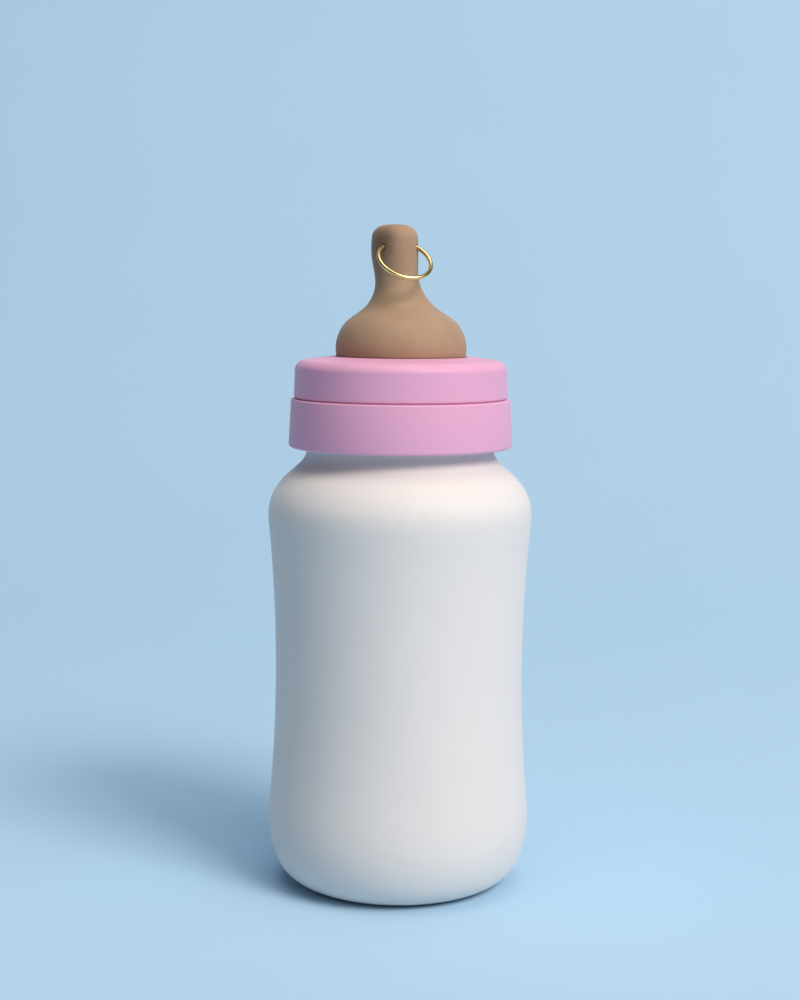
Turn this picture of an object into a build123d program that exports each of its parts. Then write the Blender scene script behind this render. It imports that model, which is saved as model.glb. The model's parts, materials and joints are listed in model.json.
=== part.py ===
from build123d import *

import math
import os

# A wide-neck baby feeding bottle with a leaning teat and a wire hoop through the teat.
# Units are millimetres. The origin is the centre of the base, +Z is up, the hoop hangs on the -Y side.

# --- Bottle body -----------------------------------------------------------------------------
CONTACT_RADIUS = 24.3        # outer edge of the flat ring that the bottle stands on
BODY_RADIUS = 36.0           # widest point, just above the base and again at the shoulder
WAIST_RADIUS = 34.03         # narrowest point of the gripped middle
WAIST_Z = 61.0
WAIST_HALF_HEIGHT = 40.0     # from the waist to where the body is at its widest
BODY_WALL = 1.7
RECESS_RADIUS = 21.5         # hollow under the base, so that it stands on a ring
RECESS_DEPTH = 1.8

# --- Neck and screw thread -------------------------------------------------------------------
NECK_RADIUS = 25.4
NECK_BORE = 23.5
SHOULDER_TOP = (28.2, 115.7)  # radius and height where the shoulder flares into the neck
FLARE_TOP_Z = 121.0
BORE_BOTTOM_Z = 119.0        # below this the bore opens out along the flare
NECK_TOP_Z = 141.2
THREAD_STARTS = 2
THREAD_LEAD = 8.0            # rise in one turn
THREAD_Z = 122.3             # where the middle of each ridge starts
THREAD_RISE = 7.0            # how far each ridge climbs
MALE_CREST = 26.7
FEMALE_CREST = 25.9
FEMALE_ROOT = 27.2
THREAD_SINK = 0.4            # how far a ridge is rooted in its wall
RIDGE_CREST_WIDTH = 1.0
MALE_ROOT_WIDTH = 2.7
FEMALE_ROOT_WIDTH = 2.3

# --- Screw ring (lower tier of the collar) ---------------------------------------------------
RING_BOTTOM_Z = 120.95
RING_TOP_Z = 134.05
RING_BOTTOM_RADIUS = 30.57
RING_TOP_RADIUS = 29.87
GROOVE_Z = 130.9             # the flange of the retaining ring turns in this groove
GROOVE_RADIUS = 28.5
LIP_Z = 132.6
LIP_RADIUS = 27.3

# --- Retaining ring (upper tier of the collar) -----------------------------------------------
TIER_BOTTOM_Z = 134.35
TIER_FOOT_EDGE = 0.65        # rounding of the lower edge, above the parting line
TIER_CORNER_Z = 144.5
TIER_BOTTOM_RADIUS = 29.11
TIER_TOP_RADIUS = 28.74
TIER_CORNER = 2.5
COLLAR_TOP_Z = 145.5
OPENING_RADIUS = 17.7
PLATE_UNDERSIDE_Z = 143.6
TIER_BORE = 26.9
SPIGOT_RADIUS = 27.0
SPIGOT_BORE = 25.75
BORE_CONE_Z = (135.35, 136.55)   # the spigot's bore opens out here to the tier's bore
FLANGE_RADIUS = 28.2
FLANGE_Z = (131.0, 132.5)

# --- Teat ------------------------------------------------------------------------------------
TEAT_FLANGE_RADIUS = 26.4
TEAT_GROOVE_RADIUS = 17.45   # seat of the collar's top edge
TEAT_WALL = 1.8
TEAT_LEAN = -1.85            # the stem sets over by this much in X
LEAN_HEIGHTS = (8.5, 29.0)   # where the lean starts and ends, above the collar
TEAT_HEIGHT = 35.6           # from the top of the collar to the tip
TIP_THICKNESS = 2.6
# Height above the collar and outer radius: dome, throat, then the slightly bulbous stem.
TEAT_STATIONS = (
    (0.0, 17.6), (3.0, 17.75), (6.0, 17.05), (9.0, 15.25), (11.5, 12.2), (14.0, 8.92),
    (16.5, 7.17), (19.0, 6.2), (22.0, 5.93), (26.0, 6.28), (29.5, 6.4), (31.5, 6.33),
)
VENT_WIDTH = 1.2             # channel under the flange that lets air into the bottle
VENT_DEPTH = 0.5
FEED_HOLES = 3
FEED_HOLE_RADIUS = 0.3
FEED_HOLE_CIRCLE = 1.6

# --- Wire hoop -------------------------------------------------------------------------------
HOOP_RADIUS = 7.17           # to the middle of the wire
HOOP_WIRE_RADIUS = 0.575
HOOP_CENTRE = (0.93, -7.45, 171.32)
HOOP_NORMAL = (0.2375, -0.615, 0.7518)
HOOP_HOLE_RADIUS = 1.05      # the holes in the teat leave the wire room to swing


def revolve_profile(edges):
    """Turn a closed outline, drawn as (radius, height), into a solid of revolution."""
    outline = Plane.XZ * make_face(edges)
    return revolve(outline, Axis.Z)


def inset_points(curve, wall, count):
    """Points along a profile curve that runs up the outside, set in by the wall thickness."""
    points = []
    for step in range(count + 1):
        tangent = curve.tangent_at(step / count)
        points.append(curve.position_at(step / count) + Vector(-tangent.Y, tangent.X) * wall)
    return points


def thread_ridge(base_radius, base_width, crest_radius):
    """One start of the thread: a trapezium carried up a right-hand helix."""
    helix = Helix(THREAD_LEAD, THREAD_RISE, base_radius, center=(0, 0, THREAD_Z))
    section = Plane(helix @ 0, x_dir=(1, 0, 0), z_dir=helix % 0) * make_face(Polyline(
        (0, -base_width / 2),
        (crest_radius - base_radius, -RIDGE_CREST_WIDTH / 2),
        (crest_radius - base_radius, RIDGE_CREST_WIDTH / 2),
        (0, base_width / 2),
        close=True,
    ))
    return sweep(section, path=helix, is_frenet=True)


def add_thread(wall, ridge, first_angle):
    """Fuse every start of the thread to its wall."""
    for start in range(THREAD_STARTS):
        wall = wall + Rot(Z=first_angle + start * 360 / THREAD_STARTS) * ridge
    return wall


def make_bottle():
    """The hollow body: rounded base, drawn-in waist, round shoulder and threaded neck."""
    side_reach = WAIST_HALF_HEIGHT - 3
    side_radius = WAIST_RADIUS + (BODY_RADIUS - WAIST_RADIUS) * (side_reach / WAIST_HALF_HEIGHT) ** 2
    low = (side_radius, WAIST_Z - side_reach)
    high = (side_radius, WAIST_Z + side_reach)
    side = ThreePointArc(low, (WAIST_RADIUS, WAIST_Z), high)
    heel = Spline(
        (CONTACT_RADIUS, 0), (31.1, 3), (34.9, 9.5), (BODY_RADIUS, 19), low,
        tangents=[(1, 0.12), side % 0],
    )
    shoulder = Spline(
        high, (35.75, 105.5), (33.8, 110), (30.75, 113.5), SHOULDER_TOP,
        tangents=[side % 1, (-1, 0.9)],
    )
    neck_flare = Spline(
        shoulder @ 1, (26.35, 117.75), (NECK_RADIUS, FLARE_TOP_Z), tangents=[shoulder % 1, (0, 1)],
    )
    rim = 0.5
    neck = Polyline(
        neck_flare @ 1, (NECK_RADIUS, NECK_TOP_Z - rim), (NECK_RADIUS - rim, NECK_TOP_Z),
        (NECK_BORE + rim, NECK_TOP_Z), (NECK_BORE, NECK_TOP_Z - rim),
        (NECK_BORE, BORE_BOTTOM_Z),
    )
    inner_side = inset_points(side, BODY_WALL, 4)
    inner_shoulder = Spline(
        neck @ 1, *reversed(inset_points(shoulder, BODY_WALL, 6)),
        tangents=[(0, -1), (side % 1) * -1],
    )
    inner_wall = Spline(*reversed(inner_side), tangents=[(side % 1) * -1, (side % 0) * -1])
    floor_z = RECESS_DEPTH + BODY_WALL + 0.5
    inner_heel = Spline(
        *reversed(inset_points(heel, BODY_WALL, 6)[1:]), (CONTACT_RADIUS - 5, floor_z),
        tangents=[(side % 0) * -1, (-1, 0)],
    )
    base = Polyline(
        inner_heel @ 1, (0, floor_z), (0, RECESS_DEPTH), (RECESS_RADIUS - 4, RECESS_DEPTH),
        (RECESS_RADIUS, 0), (CONTACT_RADIUS, 0),
    )
    body = revolve_profile([
        heel, side, shoulder, neck_flare, neck, inner_shoulder, inner_wall, inner_heel, base,
    ])
    ridge = thread_ridge(NECK_RADIUS - THREAD_SINK, MALE_ROOT_WIDTH, MALE_CREST)
    return add_thread(body, ridge, 0)


def make_screw_ring():
    """The threaded lower tier, with the groove that holds the retaining ring captive."""
    bottom_edge = 0.8
    top_edge = 0.25
    section = make_face(Polyline(
        (FEMALE_ROOT, RING_BOTTOM_Z), (RING_BOTTOM_RADIUS, RING_BOTTOM_Z),
        (RING_TOP_RADIUS, RING_TOP_Z), (LIP_RADIUS, RING_TOP_Z), (LIP_RADIUS, LIP_Z),
        (GROOVE_RADIUS, LIP_Z), (GROOVE_RADIUS, GROOVE_Z), (FEMALE_ROOT, GROOVE_Z), close=True,
    ))
    section = fillet(section.vertices().group_by(Axis.Y)[0].sort_by(Axis.X)[-1], bottom_edge)
    section = fillet(section.vertices().group_by(Axis.Y)[-1].sort_by(Axis.X)[-1], top_edge)
    ring = revolve(Plane.XZ * section, Axis.Z)
    ridge = thread_ridge(FEMALE_ROOT + THREAD_SINK, FEMALE_ROOT_WIDTH, FEMALE_CREST)
    return add_thread(ring, ridge, 90)


def make_retaining_ring():
    """The upper tier: domed top plate round the teat, and a flanged spigot in the screw ring."""
    slope = (TIER_BOTTOM_RADIUS - TIER_TOP_RADIUS) / (TIER_CORNER_Z - TIER_BOTTOM_Z)
    side_top_z = TIER_CORNER_Z - TIER_CORNER
    side_top = (TIER_BOTTOM_RADIUS - slope * (side_top_z - TIER_BOTTOM_Z), side_top_z)
    foot = (TIER_BOTTOM_RADIUS - TIER_FOOT_EDGE, TIER_BOTTOM_Z)
    foot_round = Spline(
        foot, (TIER_BOTTOM_RADIUS, TIER_BOTTOM_Z + TIER_FOOT_EDGE), tangents=[(1, 0), (0, 1)]
    )
    side = Line(foot_round @ 1, side_top)
    corner = Spline(
        side_top, (TIER_TOP_RADIUS - TIER_CORNER, TIER_CORNER_Z + 0.1),
        tangents=[side % 1, (-1, 0.1)],
    )
    crown = Spline(
        corner @ 1, (OPENING_RADIUS + 0.3, COLLAR_TOP_Z), tangents=[corner % 1, (-1, 0.02)]
    )
    inside = Polyline(
        crown @ 1, (OPENING_RADIUS, COLLAR_TOP_Z - 0.3), (OPENING_RADIUS, PLATE_UNDERSIDE_Z),
        (TIER_BORE, PLATE_UNDERSIDE_Z), (TIER_BORE, BORE_CONE_Z[1]), (SPIGOT_BORE, BORE_CONE_Z[0]),
        (SPIGOT_BORE, FLANGE_Z[0]), (FLANGE_RADIUS, FLANGE_Z[0]), (FLANGE_RADIUS, FLANGE_Z[1]),
        (SPIGOT_RADIUS, FLANGE_Z[1]), (SPIGOT_RADIUS, TIER_BOTTOM_Z), foot,
    )
    return revolve_profile([foot_round, side, corner, crown, inside])


def teat_lean(height):
    """How far the teat's middle has set over at a height above the collar."""
    low, high = LEAN_HEIGHTS
    share = min(1.0, max(0.0, (height - low) / (high - low)))
    return TEAT_LEAN * share * share * (3 - 2 * share)


def teat_form(wall, tip):
    """The dome and stem with their radii drawn in by a wall, and a rounded end at the tip."""
    rings = []
    for height, radius in TEAT_STATIONS:
        place = Plane((teat_lean(height), 0, COLLAR_TOP_Z + height))
        rings.append(Wire.make_circle(radius - wall, place))
    stem = Solid.make_loft(rings)
    cap_height, cap_radius = TEAT_STATIONS[-1]
    cap_rise = tip - cap_height
    curve = Spline(
        (cap_radius - wall, cap_height), ((cap_radius - wall) * 0.72, cap_height + cap_rise * 0.82),
        (0, tip), tangents=[(-0.1, 1), (-1, 0)],
    )
    outline = [curve, Polyline(curve @ 1, (0, cap_height), curve @ 0)]
    cap = Pos(TEAT_LEAN, 0, COLLAR_TOP_Z) * revolve_profile(outline)
    return stem + cap


def hoop_plane():
    """The plane of the hoop, with its X axis level."""
    normal = Vector(*HOOP_NORMAL).normalized()
    return Plane(HOOP_CENTRE, x_dir=Vector(0, 0, 1).cross(normal), z_dir=normal)


def make_teat():
    """The hollow silicone teat: clamped flange, collar seat, dome, stem and feeding holes."""
    flange_height = PLATE_UNDERSIDE_Z - NECK_TOP_Z
    seat_height = COLLAR_TOP_Z - PLATE_UNDERSIDE_Z
    on_floor = (Align.CENTER, Align.CENTER, Align.MIN)
    flange = Pos(0, 0, NECK_TOP_Z) * Cylinder(TEAT_FLANGE_RADIUS, flange_height, align=on_floor)
    seat = Pos(0, 0, PLATE_UNDERSIDE_Z) * Cylinder(TEAT_GROOVE_RADIUS, seat_height, align=on_floor)
    throat_radius = TEAT_STATIONS[0][1] - TEAT_WALL
    throat = Pos(0, 0, NECK_TOP_Z) * Cylinder(
        throat_radius, flange_height + seat_height, align=on_floor
    )
    solid = flange + seat + teat_form(0, TEAT_HEIGHT)
    solid = solid - throat - teat_form(TEAT_WALL, TEAT_HEIGHT - TIP_THICKNESS)
    for side in (-1, 1):
        channel = Box(TEAT_FLANGE_RADIUS - throat_radius + 2, VENT_WIDTH, 2 * VENT_DEPTH)
        solid = solid - Pos(side * (TEAT_FLANGE_RADIUS + throat_radius) / 2, 0, NECK_TOP_Z) * channel
    for hole in range(FEED_HOLES):
        angle = math.radians(90 + hole * 360 / FEED_HOLES)
        x = TEAT_LEAN + FEED_HOLE_CIRCLE * math.cos(angle)
        y = FEED_HOLE_CIRCLE * math.sin(angle)
        solid = solid - Pos(x, y, COLLAR_TOP_Z + TEAT_HEIGHT - 1) * Cylinder(FEED_HOLE_RADIUS, 8)
    room = hoop_plane() * Torus(HOOP_RADIUS, HOOP_HOLE_RADIUS)
    return solid - room


def make_hoop():
    """The closed ring of round wire that passes through the two holes in the stem."""
    return hoop_plane() * Torus(HOOP_RADIUS, HOOP_WIRE_RADIUS)


PARTS = {
    "bottle": make_bottle,
    "screw_ring": make_screw_ring,
    "retaining_ring": make_retaining_ring,
    "teat": make_teat,
    "hoop": make_hoop,
}

os.makedirs("parts", exist_ok=True)
for name, make in PARTS.items():
    shape = make()
    shape.label = name
    export_step(shape, f"parts/{name}.step")
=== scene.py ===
"""Looks of a wide-neck baby bottle: white body, two-tier pink collar, leaning teat and wire hoop.

Outlines are written in millimetres as (radius, height) and turned into metres when a mesh is made.
The Z axis is the bottle's own axis, and its base stands at height zero.
"""

import json
import math

import bpy
import numpy as np
from mathutils import Euler, Matrix, Vector


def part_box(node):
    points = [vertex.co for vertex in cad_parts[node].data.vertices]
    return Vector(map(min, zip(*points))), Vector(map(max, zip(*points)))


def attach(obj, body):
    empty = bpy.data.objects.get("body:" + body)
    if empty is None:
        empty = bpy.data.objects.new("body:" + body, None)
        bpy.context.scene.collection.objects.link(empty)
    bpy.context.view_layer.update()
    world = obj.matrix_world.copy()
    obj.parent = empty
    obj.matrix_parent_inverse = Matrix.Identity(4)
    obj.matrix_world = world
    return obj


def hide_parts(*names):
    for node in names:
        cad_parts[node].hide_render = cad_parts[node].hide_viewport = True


MM = 0.001
TAU = 2 * math.pi

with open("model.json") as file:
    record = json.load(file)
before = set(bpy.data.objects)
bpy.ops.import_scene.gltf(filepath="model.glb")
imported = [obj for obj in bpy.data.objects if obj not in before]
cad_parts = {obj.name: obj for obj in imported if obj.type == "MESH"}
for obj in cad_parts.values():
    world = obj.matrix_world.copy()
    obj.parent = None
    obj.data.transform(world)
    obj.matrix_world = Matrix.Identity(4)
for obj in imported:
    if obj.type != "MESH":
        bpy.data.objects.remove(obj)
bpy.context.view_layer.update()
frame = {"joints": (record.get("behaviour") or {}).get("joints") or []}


def top_mm(node):
    """Highest point of a CAD node, in millimetres."""
    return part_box(node)[1].z / MM


def bottom_mm(node):
    """Lowest point of a CAD node, in millimetres."""
    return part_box(node)[0].z / MM


def radius_mm(node):
    """Largest radius of a CAD node that is turned about the Z axis, in millimetres."""
    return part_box(node)[1].y / MM


# --- Heights and radii shared by several pieces ------------------------------------------------
NECK_TOP = top_mm("bottle")
RING_BOTTOM = bottom_mm("screw_ring")
RING_TOP = top_mm("screw_ring")
COLLAR_TOP = top_mm("retaining_ring")
TEAT_TIP = top_mm("teat")
PARTING_GAP = 0.3
PLATE_THICKNESS = 1.9
TIER_BOTTOM = RING_TOP + PARTING_GAP
PLATE_UNDERSIDE = COLLAR_TOP - PLATE_THICKNESS

NECK_RADIUS = 25.4
NECK_BORE = 23.5
FEMALE_ROOT = 27.2
BODY_WALL = 1.7
TEAT_WALL = 1.8

# A two-start thread: the ring's ridges lie midway between the neck's.
THREAD = {"Lead": 8.0, "Rise": 7.0, "Low": 122.3, "Crest Width": 0.9}
RIDGE_HEIGHT = 1.25

# The stem is set over by Reach, between two heights above the collar.
LEAN = {"Reach": -1.85, "Low": 8.5, "High": 29.0}
STEM_RADIUS = 6.39

# The wire's own radius is Wire, and the silicone is cut away to Grip round its middle.
HOOP = {
    "Centre": (0.93, -7.45, 171.32),
    "Normal": (0.2375, -0.615, 0.7518),
    "Radius": 7.17,
    "Wire": 0.575,
    "Grip": 0.655,
}


# --- Outlines ----------------------------------------------------------------------------------
def smooth_curve(points, start, end, count):
    """A cubic spline through a few points, with the directions it starts and ends in."""
    pts = np.array(points, float)
    steps = np.linalg.norm(np.diff(pts, axis=0), axis=1)
    knots = np.concatenate([[0], np.cumsum(steps)])
    size = len(pts)
    matrix = np.zeros((size, size))
    right = np.zeros((size, 2))
    matrix[0, 0] = matrix[-1, -1] = 1
    right[0] = np.array(start) / np.linalg.norm(start)
    right[-1] = np.array(end) / np.linalg.norm(end)
    for i in range(1, size - 1):
        before, after = steps[i - 1], steps[i]
        matrix[i, i - 1:i + 2] = 1 / before, 2 / before + 2 / after, 1 / after
        right[i] = 3 * ((pts[i] - pts[i - 1]) / before**2 + (pts[i + 1] - pts[i]) / after**2)
    slopes = np.linalg.solve(matrix, right)
    curve = []
    for place in np.linspace(0, knots[-1], count):
        i = min(int(np.searchsorted(knots, place, side="right")) - 1, size - 2)
        h = steps[i]
        t = (place - knots[i]) / h
        curve.append(tuple(
            (2 * t**3 - 3 * t**2 + 1) * pts[i] + (t**3 - 2 * t**2 + t) * h * slopes[i]
            + (3 * t**2 - 2 * t**3) * pts[i + 1] + (t**3 - t**2) * h * slopes[i + 1]
        ))
    return curve


def corner(at, before, after, radius, count=6):
    """A rounded corner of an outline, between the points before and after it."""
    at, before, after = (np.array(p, float) for p in (at, before, after))
    into = (before - at) / np.linalg.norm(before - at)
    away = (after - at) / np.linalg.norm(after - at)
    half = math.acos(max(-1, min(1, float(into @ away)))) / 2
    reach = radius / math.tan(half)
    centre = at + (into + away) / np.linalg.norm(into + away) * radius / math.sin(half)
    first, last = at + into * reach - centre, at + away * reach - centre
    sweep = math.pi - 2 * half
    points = []
    for step in range(count):
        share = step / (count - 1)
        near, far = math.sin((1 - share) * sweep), math.sin(share * sweep)
        points.append(tuple(centre + (first * near + last * far) / math.sin(sweep)))
    return points


def rounded(points, radii):
    """An outline through the points, closed, with each corner rounded by its own radius."""
    outline = []
    for i, (point, radius) in enumerate(zip(points, radii)):
        before, after = points[i - 1], points[(i + 1) % len(points)]
        outline += corner(point, before, after, radius) if radius else [point]
    return outline


def evenly(first, last, step):
    """Points along a straight wall, close enough together to be shaped or lit smoothly."""
    count = max(2, round(math.dist(first, last) / step) + 1)
    return [tuple(p) for p in np.linspace(first, last, count)]


def inset(points, wall):
    """An outline set in by a wall thickness, square to each point's own direction."""
    pts = np.array(points, float)
    along = np.gradient(pts, axis=0)
    along /= np.linalg.norm(along, axis=1)[:, None]
    return [tuple(p) for p in pts + wall * np.stack([-along[:, 1], along[:, 0]], axis=1)]


def bottle_outline():
    """The body's wall: out over the base, up the outside, over the rim and down the inside."""
    contact, waist, widest = 24.3, 34.03, 36.0
    waist_z, reach = 61.0, 40.0
    low, high = 24.0, 98.0            # the waist's curve is one parabola between these heights
    flare_top, bore_bottom, thread_top, floor_z = 121.0, 119.0, 131.2, 4.0

    def side_radius(z):
        return waist + (widest - waist) * ((z - waist_z) / reach) ** 2

    slope = 2 * (widest - waist) * (high - waist_z) / reach**2
    recess = smooth_curve([(0, 1.8), (15, 1.7), (20.6, 0.35), (21.6, 0.02)], (1, 0), (1, -0.05), 22)
    heel = smooth_curve(
        [(contact, 0), (31.1, 3), (34.9, 9.5), (widest, 19), (side_radius(low), low)],
        (1, 0.12), (-slope, 1), 48,
    )
    side = [(side_radius(z), z) for z in np.linspace(low, high, 60)[1:-1]]
    shoulder = smooth_curve(
        [(side_radius(high), high), (35.75, 105.5), (33.8, 110), (30.75, 113.5), (28.2, 115.7)],
        (slope, 1), (-1, 0.9), 44,
    )
    flare = smooth_curve([shoulder[-1], (26.35, 117.75), (NECK_RADIUS, flare_top)],
                         (-1, 0.9), (0, 1), 16)[1:-1]
    neck = evenly((NECK_RADIUS, flare_top), (NECK_RADIUS, thread_top), 0.2)
    neck += evenly((NECK_RADIUS, thread_top + 1), (NECK_RADIUS, NECK_TOP - 1), 1.5)
    rim = corner((NECK_RADIUS, NECK_TOP), (NECK_RADIUS, 0), (0, NECK_TOP), 0.5)
    rim += corner((NECK_BORE, NECK_TOP), (NECK_RADIUS, NECK_TOP), (NECK_BORE, 0), 0.5)
    bore = evenly((NECK_BORE, NECK_TOP - 1), (NECK_BORE, bore_bottom), 1.5)
    inner = [p for p in inset(heel + side + shoulder, BODY_WALL) if p[1] > floor_z + 1.5][::-2]
    throat = smooth_curve([bore[-1], inner[0]], (0, -1), (1, -0.9), 8)[1:-1]
    floor = smooth_curve([inner[-1], (24, floor_z + 0.1), (16, floor_z), (0, floor_z)],
                         (-1, -1), (-1, 0), 24)[1:]
    return recess + [(contact - 0.4, 0)] + heel + side + shoulder + flare + neck + rim + bore \
        + throat + inner + floor


def screw_ring_outline():
    """The lower tier: its skirt, thin top edge, inward lip, groove and threaded wall."""
    bottom_radius, top_radius = 30.57, 29.87
    lip_radius, lip_z = 27.3, 132.6
    groove_radius, groove_z = 28.5, 130.9
    skirt = rounded(
        [(FEMALE_ROOT + 0.5, RING_BOTTOM), (bottom_radius, RING_BOTTOM), (top_radius, RING_TOP),
         (lip_radius, RING_TOP), (lip_radius, lip_z), (groove_radius, lip_z),
         (groove_radius, groove_z), (FEMALE_ROOT, groove_z)],
        [0, 0.8, 0.5, 0.15, 0.1, 0.1, 0.1, 0],
    )
    wall = evenly((FEMALE_ROOT, groove_z - 0.1), (FEMALE_ROOT, RING_BOTTOM + 0.5), 0.2)
    return skirt + wall


def retaining_ring_outline():
    """The upper tier: its side, the domed plate round the teat and the flanged spigot below."""
    bottom_radius, top_radius, opening = 29.11, 28.74, 17.7
    bore, spigot, spigot_bore, flange = 26.9, 27.0, 25.75, 28.2
    cone_low, cone_high = TIER_BOTTOM + 1, TIER_BOTTOM + 2.2
    # The land fills most of the parting gap behind its edge.
    land, land_z = 28.65, RING_TOP + 0.07
    flange_z, flange_thickness = bottom_mm("retaining_ring"), 1.5
    flange_top = flange_z + flange_thickness
    crown_rise, rounding, foot_rounding = 1.0, 2.5, 0.42
    corner_z = COLLAR_TOP - crown_rise
    lean_in = (bottom_radius - top_radius) / (corner_z - TIER_BOTTOM)
    side_top = (bottom_radius - lean_in * (corner_z - rounding - TIER_BOTTOM), corner_z - rounding)
    side_foot = corner((bottom_radius, TIER_BOTTOM), (spigot, TIER_BOTTOM), side_top, foot_rounding)
    side = evenly(side_foot[-1], side_top, 0.5)[1:-1]
    shoulder = smooth_curve([side_top, (top_radius - rounding, corner_z + 0.1)],
                            (-lean_in, 1), (-1, 0.1), 16)
    crown = smooth_curve([shoulder[-1], (opening + 0.35, COLLAR_TOP)],
                         (-1, 0.1), (-1, 0.02), 16)[1:]
    inside = rounded(
        [(opening, COLLAR_TOP), (opening, PLATE_UNDERSIDE), (bore, PLATE_UNDERSIDE),
         (bore, cone_high), (spigot_bore, cone_low), (spigot_bore, flange_z),
         (flange, flange_z), (flange, flange_top), (spigot, flange_top),
         (spigot, land_z), (land, land_z), (land, TIER_BOTTOM)],
        [0.3, 0.1, 0.2, 0.1, 0.1, 0.1, 0.2, 0.1, 0.1, 0.05, 0.05, 0],
    )
    return side_foot + side + shoulder + crown + inside


def teat_outline():
    """The teat before it leans: down the hollow, out under the flange, then up the outside."""
    flange_radius, seat_radius, cap_thickness = radius_mm("teat"), 17.45, 2.6
    stations = [(17.6, 0), (17.8, 2.3), (17.05, 6), (15.25, 9), (12.1, 11.5), (8.92, 14),
                (7.17, 16.5), (6.2, 19), (5.93, 22), (6.28, 26), (6.4, 29.5), (6.28, 31.8)]
    tip = [stations[-1], (5.75, 33.6), (4.3, 34.9), (2.2, 35.45), (0, 35.6)]
    raised = [(r, COLLAR_TOP + h) for r, h in stations]
    outside = smooth_curve(raised, (0.1, 1), (-0.08, 1), 90)
    cap = smooth_curve([(r, COLLAR_TOP + h) for r, h in tip], (-0.08, 1), (-1, 0), 26)[1:]
    hollow = inset(outside, TEAT_WALL)
    bore = hollow[-1][0]
    hollow_cap = smooth_curve(
        [(0, TEAT_TIP - cap_thickness), (bore * 0.75, hollow[-1][1] + 0.9), hollow[-1]],
        (1, 0), (0.1, -1), 14,
    )[:-1]
    foot = rounded(
        [(hollow[0][0], NECK_TOP), (flange_radius, NECK_TOP), (flange_radius, PLATE_UNDERSIDE),
         (seat_radius, PLATE_UNDERSIDE)],
        [0.3, 0.4, 0.4, 0.1],
    )
    return hollow_cap + hollow[::-1] + foot + [(seat_radius, COLLAR_TOP - 0.1)] + outside + cap


# --- Node helpers ------------------------------------------------------------------------------
KINDS = {
    float: "NodeSocketFloat", int: "NodeSocketInt", bool: "NodeSocketBool",
    tuple: "NodeSocketVector",
}


def node(tree, kind, inputs=None, **settings):
    """A new node with its settings and inputs; an input is a value or another node's socket."""
    made = tree.nodes.new(kind)
    for key, value in settings.items():
        setattr(made, key, value)
    for key, value in (inputs or {}).items():
        if isinstance(value, bpy.types.NodeSocket):
            tree.links.new(value, made.inputs[key])
        else:
            made.inputs[key].default_value = value
    return made


def calc(tree, operation, *values):
    """A Math node's result."""
    return node(tree, "ShaderNodeMath", dict(enumerate(values)), operation=operation).outputs[0]


def bell(tree, ratio):
    """A value that is one at no distance and fades smoothly to nothing past about two."""
    return calc(tree, "EXPONENT", calc(tree, "MULTIPLY", calc(tree, "POWER", ratio, 2.0), -1.0))


def new_tree(name, kind, inputs, outputs):
    """A node tree with named inputs and outputs, and its two end nodes."""
    tree = bpy.data.node_groups.new(name, kind)
    for label, socket, default in inputs:
        made = tree.interface.new_socket(label, in_out="INPUT", socket_type=socket)
        if default is not None:
            made.default_value = default
    for label, socket in outputs:
        tree.interface.new_socket(label, in_out="OUTPUT", socket_type=socket)
    return tree, node(tree, "NodeGroupInput"), node(tree, "NodeGroupOutput")


def shape_tree(name, inputs):
    """A Geometry Nodes tree that takes a mesh, named sizes and a material, and gives a mesh."""
    sockets = [("Geometry", "NodeSocketGeometry", None)]
    sockets += [(label, KINDS[type(default)], default) for label, default in inputs.items()]
    sockets += [("Material", "NodeSocketMaterial", None)]
    return new_tree(name, "GeometryNodeTree", sockets, [("Geometry", "NodeSocketGeometry")])


def end_tree(tree, given, output, geometry):
    """Every shape tree ends so: instances made real, and the material set."""
    real = node(tree, "GeometryNodeRealizeInstances", {"Geometry": geometry})
    painted = node(tree, "GeometryNodeSetMaterial",
                   {"Geometry": real.outputs[0], "Material": given.outputs["Material"]})
    tree.links.new(painted.outputs[0], output.inputs[0])


def grown(name, mesh, steps):
    """Runs an object's mesh through one shape tree after another and leaves a plain mesh."""
    piece = bpy.data.objects.new(name, mesh)
    bpy.context.scene.collection.objects.link(piece)
    for tree, values in steps:
        modifier = piece.modifiers.new(tree.name, "NODES")
        modifier.node_group = tree
        for item in tree.interface.items_tree:
            if item.in_out == "INPUT" and item.name in values:
                modifier[item.identifier] = values[item.name]
        graph = bpy.context.evaluated_depsgraph_get()
        result = bpy.data.meshes.new_from_object(piece.evaluated_get(graph), depsgraph=graph)
        piece.modifiers.clear()
        piece.data = result
    piece.data.name = name
    return piece


def outline_mesh(name, outline):
    """The outline as a chain of points in the XZ plane, in metres."""
    mesh = bpy.data.meshes.new(name)
    points = [(r * MM, 0, z * MM) for r, z in outline]
    mesh.from_pydata(points, [(i, i + 1) for i in range(len(points) - 1)], [])
    return mesh


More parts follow.
